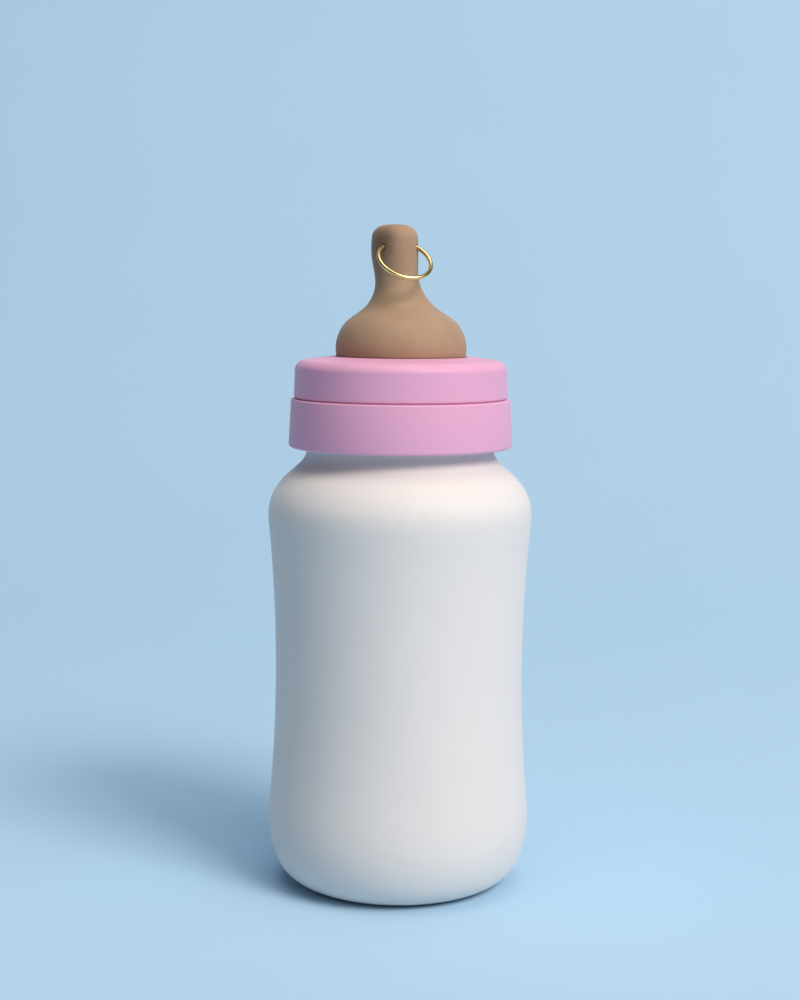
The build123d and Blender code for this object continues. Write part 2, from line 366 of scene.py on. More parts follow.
# --- Shape trees -------------------------------------------------------------------------------
def turned_tree():
    """Turns an outline about the Z axis into a wall; a closed outline joins its own start."""
    tree, given, output = shape_tree("turned_form", {"Segments": 192, "Closed": False})
    size = node(tree, "GeometryNodeAttributeDomainSize", {"Geometry": given.outputs["Geometry"]})
    points = size.outputs["Point Count"]
    rows = calc(tree, "ADD", points, given.outputs["Closed"])
    columns = calc(tree, "ADD", given.outputs["Segments"], 1)
    grid = node(tree, "GeometryNodeMeshGrid",
                {"Size X": 1.0, "Size Y": 1.0, "Vertices X": columns, "Vertices Y": rows})
    place = node(tree, "ShaderNodeSeparateXYZ",
                 {0: node(tree, "GeometryNodeInputPosition").outputs[0]})
    angle = calc(tree, "MULTIPLY", calc(tree, "ADD", place.outputs[0], 0.5), TAU)
    along = calc(tree, "ADD", place.outputs[1], 0.5)
    row = calc(tree, "ROUND", calc(tree, "MULTIPLY", along, calc(tree, "SUBTRACT", rows, 1)))
    found = node(tree, "GeometryNodeSampleIndex",
                 {"Geometry": given.outputs["Geometry"],
                  "Value": node(tree, "GeometryNodeInputPosition").outputs[0],
                  "Index": calc(tree, "FLOORED_MODULO", row, points)},
                 data_type="FLOAT_VECTOR", domain="POINT")
    point = node(tree, "ShaderNodeSeparateXYZ", {0: found.outputs[0]})
    turned = node(tree, "ShaderNodeCombineXYZ", {
        0: calc(tree, "MULTIPLY", point.outputs[0], calc(tree, "COSINE", angle)),
        1: calc(tree, "MULTIPLY", point.outputs[0], calc(tree, "SINE", angle)),
        2: point.outputs[2],
    })
    wall = node(tree, "GeometryNodeSetPosition",
                {"Geometry": grid.outputs["Mesh"], "Position": turned.outputs[0]})
    joined = node(tree, "GeometryNodeMergeByDistance",
                  {"Geometry": wall.outputs[0], "Distance": 0.002 * MM})
    smooth = node(tree, "GeometryNodeSetShadeSmooth", {"Geometry": joined.outputs[0]})
    end_tree(tree, given, output, smooth.outputs[0])
    return tree


def thread_tree():
    """Raises a screw thread's ridges on a plain round wall, with ends that run out."""
    tree, given, output = shape_tree("moulded_thread", {
        "Wall Radius": 0.0, "Ridge Height": 0.0, "Foot Width": 0.0, "Crest Width": 0.0,
        "Lead": 0.0, "Rise": 0.0, "Low": 0.0, "First Angle": 0.0, "Run Out": 0.35,
    })
    ask = given.outputs
    position = node(tree, "GeometryNodeInputPosition").outputs[0]
    place = node(tree, "ShaderNodeSeparateXYZ", {0: position})
    x, y, z = place.outputs
    radius = calc(tree, "SQRT", calc(tree, "MULTIPLY_ADD", x, x, calc(tree, "MULTIPLY", y, y)))
    angle = calc(tree, "ARCTAN2", y, x)
    last = calc(tree, "MULTIPLY", calc(tree, "DIVIDE", ask["Rise"], ask["Lead"]), TAU)
    height = 0.0
    for start in range(2):
        gone = calc(tree, "SUBTRACT", angle, calc(tree, "ADD", ask["First Angle"], start * math.pi))
        turn = calc(tree, "FLOORED_MODULO", gone, TAU)
        turns = calc(tree, "DIVIDE", turn, TAU)
        middle = calc(tree, "MULTIPLY_ADD", turns, ask["Lead"], ask["Low"])
        away = calc(tree, "ABSOLUTE", calc(tree, "SUBTRACT", z, middle))
        flank = node(tree, "ShaderNodeMapRange", {
            "Value": away,
            "From Min": calc(tree, "MULTIPLY", ask["Crest Width"], 0.5),
            "From Max": calc(tree, "MULTIPLY", ask["Foot Width"], 0.5),
            "To Min": 1.0, "To Max": 0.0,
        }, interpolation_type="SMOOTHSTEP").outputs[0]
        nearest_end = calc(tree, "MINIMUM", turn, calc(tree, "SUBTRACT", last, turn))
        taper = node(tree, "ShaderNodeMapRange",
                     {"Value": nearest_end, "From Min": 0.0, "From Max": ask["Run Out"]},
                     interpolation_type="SMOOTHSTEP").outputs[0]
        height = calc(tree, "MAXIMUM", height, calc(tree, "MULTIPLY", flank, taper))
    gap = calc(tree, "ABSOLUTE", calc(tree, "SUBTRACT", radius, ask["Wall Radius"]))
    on_wall = calc(tree, "LESS_THAN", gap, 0.02 * MM)
    push = calc(tree, "MULTIPLY", calc(tree, "MULTIPLY", height, on_wall), ask["Ridge Height"])
    outward = node(tree, "ShaderNodeCombineXYZ", {0: x, 1: y, 2: 0.0})
    offset = node(tree, "ShaderNodeVectorMath",
                  {0: outward.outputs[0], "Scale": calc(tree, "DIVIDE", push, radius)},
                  operation="SCALE")
    moved = node(tree, "GeometryNodeSetPosition",
                 {"Geometry": ask["Geometry"], "Offset": offset.outputs[0]})
    end_tree(tree, given, output, moved.outputs[0])
    return tree


def lean_tree():
    """Sets the teat's stem over to one side, smoothly, and dimples it where the hoop goes in."""
    tree, given, output = shape_tree("leaning_stem", {
        "Lean": 0.0, "Lean Low": 0.0, "Lean High": 0.0,
        "Dimple A": (0.0, 0.0, 0.0), "Dimple B": (0.0, 0.0, 0.0),
        "Depth A": 0.0, "Depth B": 0.0, "Dimple Size": 1.0, "Dimple Stretch": 1.0,
    })
    ask = given.outputs
    place = node(tree, "ShaderNodeSeparateXYZ",
                 {0: node(tree, "GeometryNodeInputPosition").outputs[0]})
    set_over = node(tree, "ShaderNodeMapRange",
                    {"Value": place.outputs[2], "From Min": ask["Lean Low"],
                     "From Max": ask["Lean High"], "To Min": 0.0, "To Max": ask["Lean"]},
                    interpolation_type="SMOOTHSTEP").outputs[0]
    offset = node(tree, "ShaderNodeCombineXYZ", {0: set_over})
    leaned = node(tree, "GeometryNodeSetPosition",
                  {"Geometry": ask["Geometry"], "Offset": offset.outputs[0]}).outputs[0]
    stretch = node(tree, "ShaderNodeCombineXYZ",
                   {0: 1.0, 1: 1.0, 2: calc(tree, "DIVIDE", 1.0, ask["Dimple Stretch"])})
    for dimple, sink in (("Dimple A", "Depth A"), ("Dimple B", "Depth B")):
        position = node(tree, "GeometryNodeInputPosition").outputs[0]
        from_hole = node(tree, "ShaderNodeVectorMath", {0: position, 1: ask[dimple]},
                         operation="SUBTRACT").outputs[0]
        squeezed = node(tree, "ShaderNodeVectorMath", {0: from_hole, 1: stretch.outputs[0]},
                        operation="MULTIPLY").outputs[0]
        reach = node(tree, "ShaderNodeVectorMath", {0: squeezed}, operation="LENGTH")
        ratio = calc(tree, "DIVIDE", reach.outputs["Value"], ask["Dimple Size"])
        depth = calc(tree, "MULTIPLY", ask[sink], bell(tree, ratio))
        middle = node(tree, "ShaderNodeSeparateXYZ", {0: ask[dimple]})
        inward = node(tree, "ShaderNodeCombineXYZ", {
            0: calc(tree, "SUBTRACT", ask["Lean"], middle.outputs[0]),
            1: calc(tree, "MULTIPLY", middle.outputs[1], -1), 2: 0.0,
        })
        unit = node(tree, "ShaderNodeVectorMath", {0: inward.outputs[0]}, operation="NORMALIZE")
        sunk = node(tree, "ShaderNodeVectorMath", {0: unit.outputs[0], "Scale": depth},
                    operation="SCALE")
        leaned = node(tree, "GeometryNodeSetPosition",
                      {"Geometry": leaned, "Offset": sunk.outputs[0]}).outputs[0]
    end_tree(tree, given, output, leaned)
    return tree


def pierced_tree(swing_steps=7):
    """Cuts the way of the swinging hoop and a ring of small feeding holes out of the teat."""
    tree, given, output = shape_tree("pierced_teat", {
        "Hoop Centre": (0.0, 0.0, 0.0), "Hoop Turn": (0.0, 0.0, 0.0), "Hoop Radius": 0.0,
        "Hoop Grip": 0.0, "Swing Centre": (0.0, 0.0, 0.0), "Swing Axis": (1.0, 0.0, 0.0),
        "Swing Low": 0.0, "Swing High": 0.0, "Tip": (0.0, 0.0, 0.0), "Holes": 3,
        "Hole Circle": 0.0, "Hole Radius": 0.0, "Hole Depth": 0.0,
    })
    ask = given.outputs
    ring = node(tree, "GeometryNodeCurvePrimitiveCircle",
                {"Resolution": 120, "Radius": ask["Hoop Radius"]})
    bore = node(tree, "GeometryNodeCurvePrimitiveCircle",
                {"Resolution": 24, "Radius": ask["Hoop Grip"]})
    room = node(tree, "GeometryNodeCurveToMesh",
                {"Curve": ring.outputs["Curve"], "Profile Curve": bore.outputs["Curve"]})
    placed_room = node(tree, "GeometryNodeTransform",
                       {"Geometry": room.outputs[0], "Translation": ask["Hoop Centre"],
                        "Rotation": ask["Hoop Turn"]})
    circle = node(tree, "GeometryNodeMeshCircle",
                  {"Vertices": ask["Holes"], "Radius": ask["Hole Circle"]})
    drill = node(tree, "GeometryNodeMeshCylinder",
                 {"Vertices": 20, "Radius": ask["Hole Radius"], "Depth": ask["Hole Depth"]})
    drills = node(tree, "GeometryNodeInstanceOnPoints",
                  {"Points": circle.outputs[0], "Instance": drill.outputs["Mesh"]})
    placed_drills = node(tree, "GeometryNodeTransform",
                         {"Geometry": drills.outputs[0], "Translation": ask["Tip"],
                          "Rotation": (0.0, 0.0, math.pi / 2)})
    real = node(tree, "GeometryNodeRealizeInstances", {"Geometry": placed_drills.outputs[0]})
    cut = node(tree, "GeometryNodeMeshBoolean",
               {"Mesh 1": ask["Geometry"], "Mesh 2": real.outputs[0]}, operation="DIFFERENCE",
               solver="EXACT")
    for step in range(swing_steps):
        share = step / (swing_steps - 1)
        angle = calc(tree, "ADD", calc(tree, "MULTIPLY", ask["Swing Low"], 1 - share),
                     calc(tree, "MULTIPLY", ask["Swing High"], share))
        position = node(tree, "GeometryNodeInputPosition").outputs[0]
        swung = node(tree, "ShaderNodeVectorRotate",
                     {"Vector": position, "Center": ask["Swing Centre"],
                      "Axis": ask["Swing Axis"], "Angle": angle}, rotation_type="AXIS_ANGLE")
        way = node(tree, "GeometryNodeSetPosition",
                   {"Geometry": placed_room.outputs[0], "Position": swung.outputs[0]})
        tree.links.new(way.outputs[0], cut.inputs["Mesh 2"])
    end_tree(tree, given, output, cut.outputs["Mesh"])
    return tree


def hoop_tree():
    """A round wire bent to a ring, with a hairline where its two ends meet."""
    tree, given, output = shape_tree("wire_hoop", {
        "Radius": 0.0, "Wire": 0.0, "Centre": (0.0, 0.0, 0.0), "Turn": (0.0, 0.0, 0.0),
        "Seam Depth": 0.0, "Seam At": 0.75, "Seam Width": 0.0025,
    })
    ask = given.outputs
    ring = node(tree, "GeometryNodeCurvePrimitiveCircle",
                {"Resolution": 720, "Radius": ask["Radius"]})
    along = node(tree, "GeometryNodeSplineParameter").outputs["Factor"]
    off_seam = calc(tree, "ABSOLUTE", calc(tree, "SUBTRACT", along, ask["Seam At"]))
    thinnest = calc(tree, "SUBTRACT", 1.0, ask["Seam Depth"])
    thin = node(tree, "ShaderNodeMapRange",
                {"Value": off_seam, "From Min": 0.0, "From Max": ask["Seam Width"],
                 "To Min": thinnest, "To Max": 1.0}).outputs[0]
    wire = node(tree, "GeometryNodeCurvePrimitiveCircle", {"Resolution": 40, "Radius": ask["Wire"]})
    bent = node(tree, "GeometryNodeCurveToMesh",
                {"Curve": ring.outputs["Curve"], "Profile Curve": wire.outputs["Curve"],
                 "Scale": thin})
    placed = node(tree, "GeometryNodeTransform",
                  {"Geometry": bent.outputs[0], "Translation": ask["Centre"],
                   "Rotation": ask["Turn"]})
    smooth = node(tree, "GeometryNodeSetShadeSmooth", {"Geometry": placed.outputs[0]})
    end_tree(tree, given, output, smooth.outputs[0])
    return tree


# --- Shader groups -----------------------------------------------------------------------------
def noise(tree, where, size, detail=3.0, roughness=0.5, distortion=0.0):
    """A noise value that changes over a length in metres; size is a number or a socket."""
    scale = calc(tree, "DIVIDE", 1.0, size)
    return node(tree, "ShaderNodeTexNoise",
                {"Vector": where, "Scale": scale, "Detail": detail, "Roughness": roughness,
                 "Distortion": distortion}).outputs["Fac"]


def spread(tree, value, low, high, to_low=0.0, to_high=1.0):
    """A value's range, low to high, opened out to another range and held inside it."""
    return node(tree, "ShaderNodeMapRange",
                {"Value": value, "From Min": low, "From Max": high, "To Min": to_low,
                 "To Max": to_high}).outputs[0]


def mix_colour(tree, share, first, second):
    """Two colours mixed by a share."""
    made = node(tree, "ShaderNodeMix", {"Factor": share}, data_type="RGBA")
    for label, value in (("A", first), ("B", second)):
        socket = next(s for s in made.inputs if s.name == label and s.type == "RGBA")
        if isinstance(value, bpy.types.NodeSocket):
            tree.links.new(value, socket)
        else:
            socket.default_value = value
    return next(s for s in made.outputs if s.type == "RGBA")


def surface_group(name, inputs, outputs):
    """A shader group with named inputs and the object's own coordinates."""
    kinds = {3: "NodeSocketVector", 4: "NodeSocketColor"}
    sockets = [(label, kinds[len(default)] if isinstance(default, tuple) else "NodeSocketFloat",
                default) for label, default in inputs.items()]
    tree, given, output = new_tree(name, "ShaderNodeTree", sockets, outputs)
    where = node(tree, "ShaderNodeTexCoord").outputs["Object"]
    return tree, given.outputs, output, where


def tinted_body_group():
    """The colour of a coloured plastic or rubber: soft clouds of a second tint, and fine specks."""
    tree, ask, output, where = surface_group(
        "tinted_body",
        {"Colour": (0.8, 0.8, 0.8, 1.0), "Cloud Colour": (0.7, 0.7, 0.7, 1.0),
         "Cloud Size": 0.02, "Cloud Amount": 0.5, "Speck Colour": (0.5, 0.5, 0.5, 1.0),
         "Speck Size": 0.0004, "Speck Amount": 0.1},
        [("Colour", "NodeSocketColor"), ("Clouds", "NodeSocketFloat")],
    )
    cloud_noise = noise(tree, where, ask["Cloud Size"], detail=4.0, roughness=0.55, distortion=0.4)
    clouds = spread(tree, cloud_noise, 0.35, 0.65)
    speck_noise = noise(tree, where, ask["Speck Size"], detail=2.0, roughness=0.6)
    specks = spread(tree, speck_noise, 0.56, 0.72)
    clouded = mix_colour(tree, calc(tree, "MULTIPLY", clouds, ask["Cloud Amount"]),
                         ask["Colour"], ask["Cloud Colour"])
    specked = mix_colour(tree, calc(tree, "MULTIPLY", specks, ask["Speck Amount"]),
                         clouded, ask["Speck Colour"])
    tree.links.new(specked, output.inputs["Colour"])
    tree.links.new(clouds, output.inputs["Clouds"])
    return tree


def moulded_grain_group():
    """The relief and gloss of a moulded surface: fine spark texture over long, faint ripples."""
    tree, ask, output, where = surface_group(
        "moulded_grain",
        {"Grain Size": 0.0003, "Grain Depth": 0.5, "Ripple Size": 0.012, "Ripple Depth": 0.5,
         "Roughness": 0.45, "Roughness Spread": 0.1},
        [("Height", "NodeSocketFloat"), ("Roughness", "NodeSocketFloat")],
    )
    grain = noise(tree, where, ask["Grain Size"], roughness=0.6)
    ripple = noise(tree, where, ask["Ripple Size"], detail=1.0, roughness=0.4)
    height = calc(tree, "MULTIPLY_ADD", ripple, ask["Ripple Depth"],
                  calc(tree, "MULTIPLY", grain, ask["Grain Depth"]))
    gloss_size = calc(tree, "MULTIPLY", ask["Ripple Size"], 0.6)
    gloss_noise = noise(tree, where, gloss_size, detail=5.0, roughness=0.65)
    uneven = calc(tree, "SUBTRACT", gloss_noise, 0.5)
    roughness = calc(tree, "MULTIPLY_ADD", uneven, ask["Roughness Spread"], ask["Roughness"])
    tree.links.new(height, output.inputs["Height"])
    tree.links.new(roughness, output.inputs["Roughness"])
    return tree


def scuffs_and_edge_highlight_group():
    """Marks of handling and a painted highlight: slightly polished edges, lightened in colour as a
    painted highlight, and faint hairline scuffs.
    """
    tree, ask, output, where = surface_group(
        "scuffs_and_edge_highlights",
        {"Edge Amount": 0.3, "Scuff Amount": 0.3, "Scuff Size": 0.0015, "Patch Size": 0.009},
        [("Edges", "NodeSocketFloat"), ("Scuffs", "NodeSocketFloat")],
    )
    pointed = node(tree, "ShaderNodeNewGeometry").outputs["Pointiness"]
    # Sharp edges as a mask: the material polishes them and lightens their colour as a painted
    # highlight.
    edges = calc(tree, "MULTIPLY", spread(tree, pointed, 0.515, 0.60), ask["Edge Amount"])
    stretched = node(tree, "ShaderNodeMapping",
                     {"Vector": where, "Rotation": (0.3, 0.5, 0.4), "Scale": (1.0, 1.0, 0.06)})
    line_noise = noise(tree, stretched.outputs[0], ask["Scuff Size"], detail=1.0, distortion=0.2)
    lines = spread(tree, line_noise, 0.62, 0.70)
    patches = spread(tree, noise(tree, where, ask["Patch Size"]), 0.56, 0.70)
    scuffs = calc(tree, "MULTIPLY", calc(tree, "MULTIPLY", lines, patches), ask["Scuff Amount"])
    tree.links.new(edges, output.inputs["Edges"])
    tree.links.new(scuffs, output.inputs["Scuffs"])
    return tree


def painted_shade_group():
    """A soft, uneven patch round one point, taller than wide, as a mask for painted shade."""
    tree, ask, output, where = surface_group(
        "painted_shade_patch",
        {"Centre": (0.0, 0.0, 0.0), "Size": 0.003, "Stretch": 1.4, "Amount": 0.5},
        [("Mask", "NodeSocketFloat")],
    )
    squeeze = node(tree, "ShaderNodeCombineXYZ",
                   {0: 1.0, 1: 1.0, 2: calc(tree, "DIVIDE", 1.0, ask["Stretch"])})
    away = node(tree, "ShaderNodeVectorMath", {0: where, 1: ask["Centre"]}, operation="SUBTRACT")
    squeezed = node(tree, "ShaderNodeVectorMath", {0: away.outputs[0], 1: squeeze.outputs[0]},
                    operation="MULTIPLY")
    reach = node(tree, "ShaderNodeVectorMath", {0: squeezed.outputs[0]}, operation="LENGTH")
    ratio = calc(tree, "DIVIDE", reach.outputs["Value"], ask["Size"])
    fade = bell(tree, ratio)
    uneven = spread(tree, noise(tree, where, ask["Size"]), 0.3, 0.7, to_low=0.8)
    mask = calc(tree, "MULTIPLY", calc(tree, "MULTIPLY", fade, uneven), ask["Amount"])
    tree.links.new(mask, output.inputs["Mask"])
    return tree


# --- Materials ---------------------------------------------------------------------------------
def group_node(tree, group, inputs):
    """A shader group placed in a material with its own values."""
    made = tree.nodes.new("ShaderNodeGroup")
    made.node_tree = group
    for label, value in inputs.items():
        made.inputs[label].default_value = value
    return made.outputs


def new_material(name, constants):
    """A material with one Principled shader, whose even values are set on its own sockets."""
    material = bpy.data.materials.new(name)
    material.use_nodes = True
    tree = material.node_tree
    shader = tree.nodes["Principled BSDF"]
    for label, value in constants.items():
        shader.inputs[label].default_value = value
    return material, tree, shader


# Dark brown painted shade, mixed into the colour round the teat's pierced hole.
PAINTED_SHADE_COLOUR = (0.10, 0.06, 0.04, 1)
SCUFF_ROUGHENS = 0.25
EDGE_POLISHES = -0.12


def moulded_material(name, body, grain, marks, wear_and_highlight_colour, relief, constants, painted_shade=None):
    """A moulded plastic or rubber: tinted body, grain, gloss, handling marks with edges lightened
    as a painted highlight, and any painted shade patch.
    """
    material, tree, shader = new_material(name, constants)
    tint = group_node(tree, TINTED_BODY, body)
    texture = group_node(tree, MOULDED_GRAIN, grain)
    marks_and_highlights = group_node(tree, SCUFFS_AND_EDGE_HIGHLIGHTS, marks)
    # The edges and scuffs lighten the colour: the scuffs as lighter wear, the edges as a painted
    # highlight.
    colour = mix_colour(tree, calc(tree, "ADD", marks_and_highlights["Edges"], marks_and_highlights["Scuffs"]),
                        tint["Colour"], wear_and_highlight_colour)
    # Painted shade: the colour is darkened round one point by the patch's mask.
    if painted_shade:
        mask = group_node(tree, PAINTED_SHADE_PATCH, painted_shade)["Mask"]
        colour = mix_colour(tree, mask, colour, PAINTED_SHADE_COLOUR)
    tree.links.new(colour, shader.inputs["Base Color"])
    scuffed = calc(tree, "MULTIPLY_ADD", marks_and_highlights["Scuffs"], SCUFF_ROUGHENS, texture["Roughness"])
    gloss = calc(tree, "MULTIPLY_ADD", marks_and_highlights["Edges"], EDGE_POLISHES, scuffed)
    tree.links.new(gloss, shader.inputs["Roughness"])
    bump = node(tree, "ShaderNodeBump",
                {"Height": texture["Height"], "Distance": relief, "Strength": 1.0})
    tree.links.new(bump.outputs[0], shader.inputs["Normal"])
    return material


def bottle_white():
    """Satin opaque white polypropylene."""
    return moulded_material(
        "bottle_white",
        {"Colour": (0.81, 0.80, 0.79, 1), "Cloud Colour": (0.792, 0.784, 0.776, 1),
         "Cloud Size": 0.028, "Cloud Amount": 0.6, "Speck Colour": (0.66, 0.66, 0.67, 1),
         "Speck Size": 0.00035, "Speck Amount": 0.10},
        {"Grain Size": 0.00028, "Grain Depth": 0.35, "Ripple Size": 0.015, "Ripple Depth": 1.0,
         "Roughness": 0.58, "Roughness Spread": 0.12},
        {"Edge Amount": 0.25, "Scuff Amount": 0.12, "Scuff Size": 0.0011},
        # Lighter tone for scuffs, and for edges as a painted highlight.
        (0.86, 0.86, 0.855, 1), 0.00005,
        {"IOR": 1.49, "Specular IOR Level": 0.22, "Subsurface Weight": 0.06,
         "Subsurface Radius": (0.0014, 0.0013, 0.0012), "Subsurface Scale": 1.0,
         "Sheen Weight": 0.25, "Sheen Roughness": 0.4},
    )


def collar_pink():
    """Satin pink polypropylene."""
    return moulded_material(
        "collar_pink",
        {"Colour": (0.81, 0.43, 0.64, 1), "Cloud Colour": (0.795, 0.415, 0.625, 1),
         "Cloud Size": 0.014, "Cloud Amount": 0.6, "Speck Colour": (0.65, 0.28, 0.47, 1),
         "Speck Size": 0.0003, "Speck Amount": 0.15},
        {"Grain Size": 0.00024, "Grain Depth": 0.35, "Ripple Size": 0.008, "Ripple Depth": 0.8,
         "Roughness": 0.46, "Roughness Spread": 0.12},
        {"Edge Amount": 0.3, "Scuff Amount": 0.05, "Scuff Size": 0.0009},
        # Lighter tone for scuffs, and for edges as a painted highlight.
        (0.84, 0.52, 0.70, 1), 0.00004,
        {"IOR": 1.49, "Specular IOR Level": 0.26, "Subsurface Weight": 0.08,
         "Subsurface Radius": (0.0016, 0.0008, 0.0012), "Subsurface Scale": 1.0,
         "Sheen Weight": 0.05, "Sheen Roughness": 0.4},
    )


def teat_silicone(hole):
    """Matt tan silicone rubber with a powdery bloom, and painted shade darkening it round the
    hoop's front hole.
    """
    return moulded_material(
        "teat_silicone",
        {"Colour": (0.43, 0.298, 0.195, 1), "Cloud Colour": (0.39, 0.265, 0.17, 1),
         "Cloud Size": 0.007, "Cloud Amount": 0.75, "Speck Colour": (0.50, 0.36, 0.255, 1),
         "Speck Size": 0.0005, "Speck Amount": 0.35},
        {"Grain Size": 0.00035, "Grain Depth": 0.5, "Ripple Size": 0.004, "Ripple Depth": 1.0,
         "Roughness": 0.62, "Roughness Spread": 0.14},
        {"Edge Amount": 0.12, "Scuff Amount": 0.2, "Scuff Size": 0.0008},
        # Lighter tone for scuffs, and for edges as a painted highlight.
        (0.50, 0.36, 0.255, 1), 0.00007,
        {"IOR": 1.41, "Specular IOR Level": 0.32, "Subsurface Weight": 0.12,
         "Subsurface Radius": (0.0022, 0.0011, 0.0006), "Subsurface Scale": 1.0,
         "Sheen Weight": 0.08, "Sheen Roughness": 0.45},
        # Painted shade round the front hole and its dimple.
        {"Centre": hole, "Size": 0.0038, "Stretch": 1.6, "Amount": 0.85},
    )


def hoop_gold():
    """Polished gold-coloured wire with fine grain, faint ripples in its gloss and a few dull spots.
    """
    material, tree, shader = new_material("hoop_gold", {
        "Metallic": 1.0, "IOR": 1.5, "Coat Weight": 0.25, "Coat Roughness": 0.12,
    })
    tint = group_node(tree, TINTED_BODY, {
        "Colour": (0.93, 0.71, 0.32, 1), "Cloud Colour": (0.87, 0.63, 0.25, 1),
        "Cloud Size": 0.003, "Cloud Amount": 0.7, "Speck Colour": (0.55, 0.33, 0.09, 1),
        "Speck Size": 0.0002, "Speck Amount": 0.25,
    })
    texture = group_node(tree, MOULDED_GRAIN, {
        "Grain Size": 0.00008, "Grain Depth": 0.3, "Ripple Size": 0.002, "Ripple Depth": 1.0,
        "Roughness": 0.22, "Roughness Spread": 0.12,
    })
    tree.links.new(tint["Colour"], shader.inputs["Base Color"])
    tree.links.new(texture["Roughness"], shader.inputs["Roughness"])
    bump = node(tree, "ShaderNodeBump",
                {"Height": texture["Height"], "Distance": 0.000015, "Strength": 1.0})
    tree.links.new(bump.outputs[0], shader.inputs["Normal"])
    return material


TINTED_BODY = tinted_body_group()
MOULDED_GRAIN = moulded_grain_group()
SCUFFS_AND_EDGE_HIGHLIGHTS = scuffs_and_edge_highlight_group()
PAINTED_SHADE_PATCH = painted_shade_group()


# --- Pieces ------------------------------------------------------------------------------------
def hoop_turn():
    """The hoop's plane as an Euler turn, with its own X axis level."""
    normal = Vector(HOOP["Normal"]).normalized()
    level = Vector((0, 0, 1)).cross(normal).normalized()
    return Matrix((level, normal.cross(level), normal)).transposed().to_euler()


def teat_lean(z):
    """How far the middle of the stem has set over at a height, as the shape tree has it."""
    share = min(1, max(0, (z - COLLAR_TOP - LEAN["Low"]) / (LEAN["High"] - LEAN["Low"])))
    return LEAN["Reach"] * share * share * (3 - 2 * share)


def hoop_holes(steps=1440):
    """The two points where the wire's middle crosses the stem's outside, in millimetres."""
    turn = hoop_turn().to_matrix()
    crossings = []
    inside_before = None
    for step in range(steps + 1):
        angle = TAU * step / steps
        ring_point = Vector((math.cos(angle), math.sin(angle), 0)) * HOOP["Radius"]
        point = Vector(HOOP["Centre"]) + turn @ ring_point
        inside = math.hypot(point.x - teat_lean(point.z), point.y) < STEM_RADIUS
        if inside_before is not None and inside != inside_before:
            crossings.append(point)
        inside_before = inside
    return crossings


TURNED_FORM = turned_tree()
MOULDED_THREAD = thread_tree()
LEANING_STEM = lean_tree()
PIERCED_TEAT = pierced_tree()
WIRE_HOOP = hoop_tree()


def turned(name, outline, closed, material, segments, more=()):
    """A piece turned from its outline, and carried through any further shape trees."""
    first = (TURNED_FORM, {"Segments": segments, "Closed": closed, "Material": material})
    later = [(tree, {**values, "Material": material}) for tree, values in more]
    return grown(name, outline_mesh(name, outline), [first, *later])


def thread_values(wall, height, foot, first_angle):
    """The thread's sizes for one wall, in metres, and the angle its first ridge starts at."""
    sizes = {"Wall Radius": wall, "Ridge Height": height, "Foot Width": foot, **THREAD}
    return {**{label: size * MM for label, size in sizes.items()}, "First Angle": first_angle}


def make_bottle():
    """The body, with the two-start thread raised on its neck."""
    thread = thread_values(NECK_RADIUS, height=RIDGE_HEIGHT, foot=2.5, first_angle=0.0)
    return turned("bottle_body", bottle_outline(), False, bottle_white(), 240,
                  [(MOULDED_THREAD, thread)])


def make_collar():
    """The collar's two tiers in the same pink."""
    pink = collar_pink()
    thread = thread_values(FEMALE_ROOT, height=-RIDGE_HEIGHT, foot=2.3, first_angle=math.pi / 2)
    lower = turned("collar_screw_ring", screw_ring_outline(), True, pink, 240,
                   [(MOULDED_THREAD, thread)])
    upper = turned("collar_retaining_ring", retaining_ring_outline(), True, pink, 240)
    return lower, upper


def make_teat():
    """The hollow teat: turned, set over, dimpled at the hoop and pierced."""
    first_hole, second_hole = hoop_holes()
    leaning = {
        "Lean": LEAN["Reach"] * MM,
        "Lean Low": (COLLAR_TOP + LEAN["Low"]) * MM,
        "Lean High": (COLLAR_TOP + LEAN["High"]) * MM,
        "Dimple A": tuple(first_hole * MM), "Dimple B": tuple(second_hole * MM),
        "Depth A": 0.1 * MM, "Depth B": 0.3 * MM, "Dimple Size": 2.4 * MM, "Dimple Stretch": 1.7,
    }
    swing = next(j for j in frame["joints"] if j["name"] == "hoop_swing")
    pierced = {
        "Hoop Centre": tuple(c * MM for c in HOOP["Centre"]), "Hoop Turn": tuple(hoop_turn()),
        "Hoop Radius": HOOP["Radius"] * MM, "Hoop Grip": HOOP["Grip"] * MM,
        "Swing Centre": tuple(swing["pos_m"]), "Swing Axis": tuple(swing["axis"]),
        "Swing Low": math.radians(swing["range_deg"][0]),
        "Swing High": math.radians(swing["range_deg"][1]),
        "Tip": (LEAN["Reach"] * MM, 0.0, (TEAT_TIP - 1) * MM), "Holes": 3,
        "Hole Circle": 1.6 * MM, "Hole Radius": 0.3 * MM, "Hole Depth": 8 * MM,
    }
    # The painted shade is centred a little above the second hole.
    silicone = teat_silicone(tuple((second_hole + Vector((0, 0, 0.6))) * MM))
    return turned("silicone_teat", teat_outline(), False, silicone, 208,
                  [(LEANING_STEM, leaning), (PIERCED_TEAT, pierced)])


def make_hoop():
    """The wire ring through the teat."""
    values = {
        "Radius": HOOP["Radius"] * MM, "Wire": HOOP["Wire"] * MM,
        "Centre": tuple(c * MM for c in HOOP["Centre"]), "Turn": tuple(hoop_turn()),
        "Seam Depth": 0.12, "Seam At": 0.25, "Material": hoop_gold(),
    }
    return grown("gold_hoop", bpy.data.meshes.new("gold_hoop"), [(WIRE_HOOP, values)])


def place_pieces():
    """Every piece on its body, with the CAD node that it stands for and its material slot."""
    lower, upper = make_collar()
    for piece, body, cad_node, slot in (
        (make_bottle(), "bottle", "bottle", "bottle_white"),
        (lower, "screw_ring", "screw_ring", "collar_pink"),
        (upper, "collar_top", "retaining_ring", "collar_pink"),
        (make_teat(), "collar_top", "teat", "teat_silicone"),
        (make_hoop(), "hoop", "hoop", "hoop_gold"),
    ):
        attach(piece, body)
        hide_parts(cad_node)


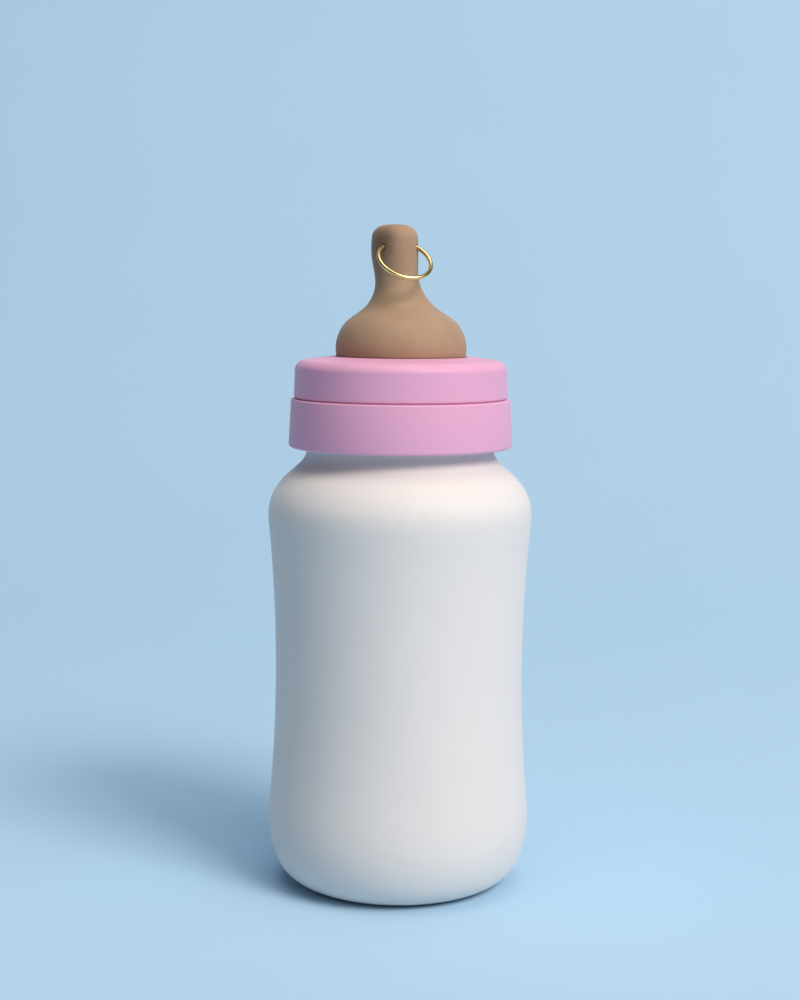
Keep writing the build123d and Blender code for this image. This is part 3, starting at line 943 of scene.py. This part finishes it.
# --- Surroundings ------------------------------------------------------------------------------
def make_backdrop():
    """A plain pale blue sweep: a floor that curves up into a wall."""
    half_width, front, bend_start, bend, height = 2.4, -1.8, 0.35, 1.2, 2.4
    bend_steps = 24
    line = [(front, 0.0), (bend_start, 0.0)]
    for step in range(1, bend_steps + 1):
        angle = math.pi / 2 * step / bend_steps
        line.append((bend_start + bend * math.sin(angle), bend * (1 - math.cos(angle))))
    line.append((bend_start + bend, height))
    mesh = bpy.data.meshes.new("backdrop")
    points = [(side * half_width, y, z) for y, z in line for side in (-1, 1)]
    faces = [(2 * i, 2 * i + 1, 2 * i + 3, 2 * i + 2) for i in range(len(line) - 1)]
    mesh.from_pydata(points, [], faces)
    mesh.polygons.foreach_set("use_smooth", [True] * len(faces))
    sweep = bpy.data.objects.new("backdrop", mesh)
    bpy.context.scene.collection.objects.link(sweep)
    material, tree, shader = new_material(
        "backdrop_paper", {"Roughness": 0.9, "Specular IOR Level": 0.1})
    where = node(tree, "ShaderNodeTexCoord").outputs["Object"]
    blotches = spread(tree, noise(tree, where, 0.25, detail=2.0), 0.3, 0.7)
    pale_blue, paler_blue = (0.450, 0.680, 0.88, 1), (0.457, 0.686, 0.885, 1)
    paper = mix_colour(tree, blotches, pale_blue, paler_blue)
    tree.links.new(paper, shader.inputs["Base Color"])
    mesh.materials.append(material)


def add_light(name, place, target, size, power, colour):
    """A square soft light that faces its target; sizes are in metres and the power in watts."""
    light = bpy.data.lights.new(name, "AREA")
    light.shape = "SQUARE"
    light.size = size
    light.energy = power
    light.color = colour
    lamp = bpy.data.objects.new(name, light)
    lamp.location = place
    lamp.rotation_euler = (place - target).to_track_quat("Z", "Y").to_euler()
    bpy.context.scene.collection.objects.link(lamp)


def make_lights():
    """A wide soft bank from the right, the front and above, and a wash of light on the backdrop."""
    middle = Vector((0, 0, 0.09))
    distance, daylight = 3.0, (1.0, 0.89, 0.82)
    # Azimuths go from the front round to the right, and elevations up from level, in degrees.
    for name, azimuth, elevation, size, power in (
        ("key", 42, 42, 1.1, 47.0),
        ("key_side", 58, 37, 1.5, 15.0),
        ("key_front", 26, 39, 1.5, 15.0),
        ("key_high", 42, 55, 1.5, 6.0),
    ):
        turn, rise = math.radians(azimuth), math.radians(elevation)
        away = Vector((math.sin(turn) * math.cos(rise), -math.cos(turn) * math.cos(rise),
                       math.sin(rise)))
        add_light(name, middle + away * distance, middle, size, power, daylight)
    add_light("wash", Vector((0, -0.1, 2.6)), Vector((0, 1.3, 0.2)), size=1.6, power=23.0,
              colour=(1.0, 0.98, 0.97))
    world = bpy.data.worlds.new("studio")
    world.use_nodes = True
    sky = world.node_tree.nodes["Background"]
    sky.inputs["Color"].default_value = (1.0, 0.78, 0.72, 1)
    sky.inputs["Strength"].default_value = 0.085
    bpy.context.scene.world = world


def make_camera():
    """A long lens a little above the collar, tipped slightly down."""
    distance, height = 0.49323, 0.16303
    pitch, roll = math.radians(6.572), 0.00683
    camera = bpy.data.cameras.new("camera")
    camera.sensor_width = 36.0
    camera.lens = 65.12
    camera.clip_start = 0.02
    viewer = bpy.data.objects.new("camera", camera)
    viewer.location = (0, -distance, height)
    aim = Euler((math.pi / 2 - pitch, 0, 0)).to_matrix() @ Matrix.Rotation(roll, 3, "Z")
    viewer.rotation_euler = aim.to_euler()
    bpy.context.scene.collection.objects.link(viewer)
    bpy.context.scene.camera = viewer


place_pieces()
make_backdrop()
make_lights()
make_camera()
bpy.context.scene.view_settings.view_transform = "Standard"
